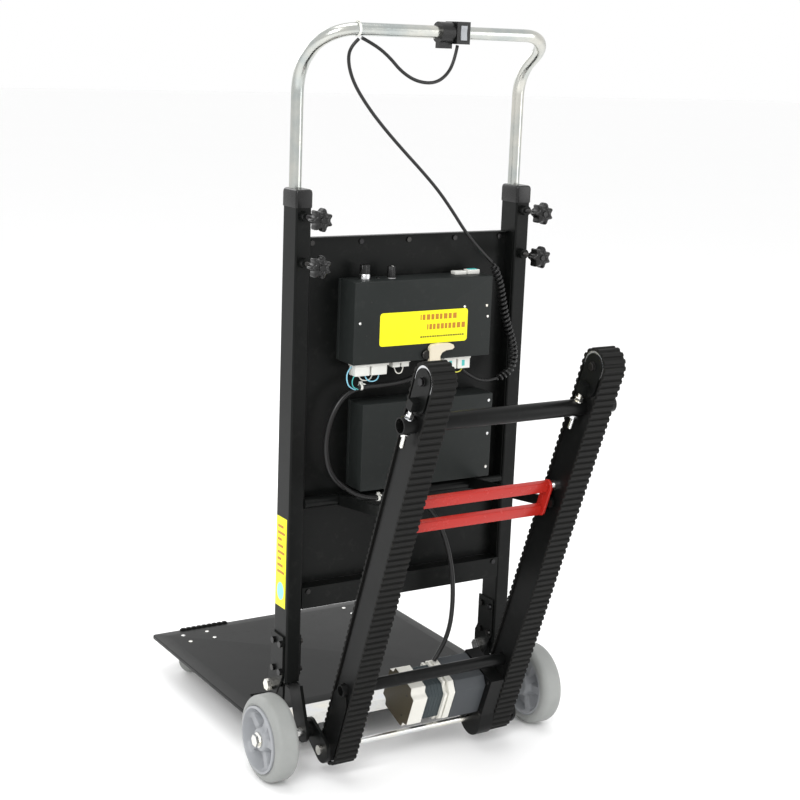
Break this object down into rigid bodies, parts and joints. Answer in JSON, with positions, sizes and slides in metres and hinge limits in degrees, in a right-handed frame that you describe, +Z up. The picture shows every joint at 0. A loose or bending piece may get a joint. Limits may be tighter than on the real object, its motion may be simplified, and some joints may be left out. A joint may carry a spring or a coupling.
{
  "type": "powered stair-climbing hand truck",
  "caption": "Two-wheeled hand truck with telescoping handle, folding toe plate on swivel casters and a motor-driven pair of belt crawlers for stairs.",
  "frame": {"origin": "on the floor under the centre of the bounding box", "axes": "+Z up, +Y towards the operator and the crawlers, +X towards the operator's left"},
  "size_m": [0.6474, 0.9237, 1.36],
  "materials": {
    "black_frame": "satin black powder coat on steel",
    "black_alloy": "satin black powder coat",
    "black_case": "fine-textured black powder coat",
    "black_plastic": "matt moulded plastic",
    "white_plastic": "white moulded nylon",
    "grey_plastic": "light grey moulded plastic",
    "grey_rubber": "light grey non-marking rubber",
    "black_rubber": "ribbed black rubber",
    "zinc": "zinc-plated steel",
    "zinc_tube": "zinc-plated drawn tube",
    "bright_metal": "bright turned metal",
    "raw_alloy": "raw cast alloy",
    "grey_alloy": "dark grey painted cast alloy",
    "red_paint": "gloss red powder coat",
    "cell_wrap": "shrink-wrapped battery pack",
    "cable_black": "flexible black cable jacket"
  },
  "bodies": {
    "frame": {"upright_left": "black_frame", "upright_right": "black_frame", "upright_caps": "black_plastic", "back_panel": "black_frame", "crossmember": "black_frame", "stay_rod": "black_frame", "wheel_brackets": "black_frame", "axle_bolts": "zinc", "toe_brackets": "black_frame", "frame_screws": "zinc", "toe_bolts": "zinc", "battery_case": "black_case", "battery_cells": "cell_wrap", "controller_case": "black_case", "key_collar": "bright_metal", "connectors": "white_plastic", "harness": "cable_black", "motor_cable": "cable_black", "cord_run": "cable_black", "cord_coil": "cable_black"},
    "handle": {"handle_tube": "zinc_tube", "switch_clamp": "black_plastic", "switch_housing": "black_plastic", "cord_loop": "cable_black"},
    "rocker": {"switch_rocker": "grey_plastic"},
    "key": {"key_switch": "black_plastic"},
    "dial": {"speed_dial": "black_plastic"},
    "knob_lu": {"knob_left_upper": "black_plastic"},
    "knob_ll": {"knob_left_lower": "black_plastic"},
    "knob_ru": {"knob_right_upper": "black_plastic"},
    "knob_rl": {"knob_right_lower": "black_plastic"},
    "wheel_left": {"wheel_tyre_left": "grey_rubber", "wheel_hub_left": "grey_plastic"},
    "wheel_right": {"wheel_tyre_right": "grey_rubber", "wheel_hub_right": "grey_plastic"},
    "toe": {"toe_plate": "black_frame", "toe_rear_channel": "zinc", "toe_rivets": "zinc", "toe_nose": "black_rubber", "caster_mounts": "zinc"},
    "caster_left": {"caster_fork_left": "zinc"},
    "caster_right": {"caster_fork_right": "zinc"},
    "caster_roll_left": {"caster_wheel_left": "grey_rubber"},
    "caster_roll_right": {"caster_wheel_right": "grey_rubber"},
    "crawlers": {"rail_left": "black_alloy", "rail_right": "black_alloy", "cross_tubes": "black_alloy", "head_forks": "black_frame", "crawler_hardware": "zinc", "belt_left": "black_rubber", "belt_right": "black_rubber", "gear_case": "black_alloy", "motor": "raw_alloy", "gearbox": "grey_alloy", "release_lever": "red_paint"},
    "drive": {"drive_shaft": "zinc", "drive_pulleys": "bright_metal"},
    "idler_l": {"idler_left": "bright_metal"},
    "idler_r": {"idler_right": "bright_metal"},
    "stay": {"stay": "black_frame"}
  },
  "joints": [
    {"name": "handle_slide", "type": "slide", "parent": "frame", "child": "handle", "axis": [0, 0, 1], "range_m": [-0.15, 0], "deforming": ["cord_run"]},
    {"name": "rocker_press", "type": "hinge", "parent": "handle", "child": "rocker", "pos_m": [-0.0285, 0.1642, 1.341], "axis": [1, 0, 0], "range_deg": [-6, 6], "stiffness_Nm_per_rad": 0.4},
    {"name": "key_turn", "type": "hinge", "parent": "frame", "child": "key", "pos_m": [0.108, 0.0892, 0.915], "axis": [0, 0, -1], "range_deg": [0, 90]},
    {"name": "dial_turn", "type": "hinge", "parent": "frame", "child": "dial", "pos_m": [0.053, 0.0892, 0.915], "axis": [0, 0, -1], "range_deg": [-135, 135]},
    {"name": "knob_lu_turn", "type": "hinge", "parent": "frame", "child": "knob_lu", "pos_m": [0.232, 0.1352, 1.023], "axis": [0, 1, 0], "range_deg": [0, 270]},
    {"name": "knob_ll_turn", "type": "hinge", "parent": "frame", "child": "knob_ll", "pos_m": [0.232, 0.1352, 0.942], "axis": [0, 1, 0], "range_deg": [0, 270]},
    {"name": "knob_ru_turn", "type": "hinge", "parent": "frame", "child": "knob_ru", "pos_m": [-0.232, 0.1352, 1.023], "axis": [0, 1, 0], "range_deg": [0, 270]},
    {"name": "knob_rl_turn", "type": "hinge", "parent": "frame", "child": "knob_rl", "pos_m": [-0.232, 0.1352, 0.942], "axis": [0, 1, 0], "range_deg": [0, 270]},
    {"name": "wheel_left_roll", "type": "hinge", "parent": "frame", "child": "wheel_left", "pos_m": [0.2917, 0.1169, 0.08], "axis": [1, 0, 0], "continuous": true},
    {"name": "wheel_right_roll", "type": "hinge", "parent": "frame", "child": "wheel_right", "pos_m": [-0.2917, 0.1169, 0.08], "axis": [1, 0, 0], "continuous": true},
    {"name": "toe_fold", "type": "hinge", "parent": "frame", "child": "toe", "pos_m": [0, 0.0422, 0.149], "axis": [-1, 0, 0], "range_deg": [0, 90]},
    {"name": "caster_left_swivel", "type": "hinge", "parent": "toe", "child": "caster_left", "pos_m": [0.195, -0.4028, 0.06], "axis": [0, 0, 1], "continuous": true},
    {"name": "caster_left_roll", "type": "hinge", "parent": "caster_left", "child": "caster_roll_left", "pos_m": [0.20857, -0.41128, 0.025], "axis": [0.5299, 0.848, 0], "continuous": true},
    {"name": "caster_right_swivel", "type": "hinge", "parent": "toe", "child": "caster_right", "pos_m": [-0.195, -0.4028, 0.06], "axis": [0, 0, 1], "continuous": true},
    {"name": "caster_right_roll", "type": "hinge", "parent": "caster_right", "child": "caster_roll_right", "pos_m": [-0.18143, -0.41128, 0.025], "axis": [0.5299, 0.848, 0], "continuous": true},
    {"name": "crawler_fold", "type": "hinge", "parent": "frame", "child": "crawlers", "pos_m": [0, 0.16, 0.0567], "axis": [1, 0, 0], "range_deg": [0, 6], "deforming": ["motor_cable"]},
    {"name": "stay_swing", "type": "hinge", "parent": "frame", "child": "stay", "pos_m": [0, 0.0792, 0.503], "axis": [1, 0, 0], "range_deg": [0, 6]},
    {"name": "drive_turn", "type": "hinge", "parent": "crawlers", "child": "drive", "pos_m": [0, 0.16, 0.0567], "axis": [1, 0, 0], "continuous": true},
    {"name": "idler_l_turn", "type": "hinge", "parent": "crawlers", "child": "idler_l", "pos_m": [0.1714, 0.42934, 0.79671], "axis": [1, 0, 0], "continuous": true},
    {"name": "idler_r_turn", "type": "hinge", "parent": "crawlers", "child": "idler_r", "pos_m": [-0.1714, 0.42934, 0.79671], "axis": [1, 0, 0], "continuous": true}
  ],
  "couplings": [
    {"joint": "stay_swing", "follows": "crawler_fold", "ratio": 0.98},
    {"joint": "idler_l_turn", "follows": "drive_turn", "ratio": 1},
    {"joint": "idler_r_turn", "follows": "drive_turn", "ratio": 1}
  ]
}
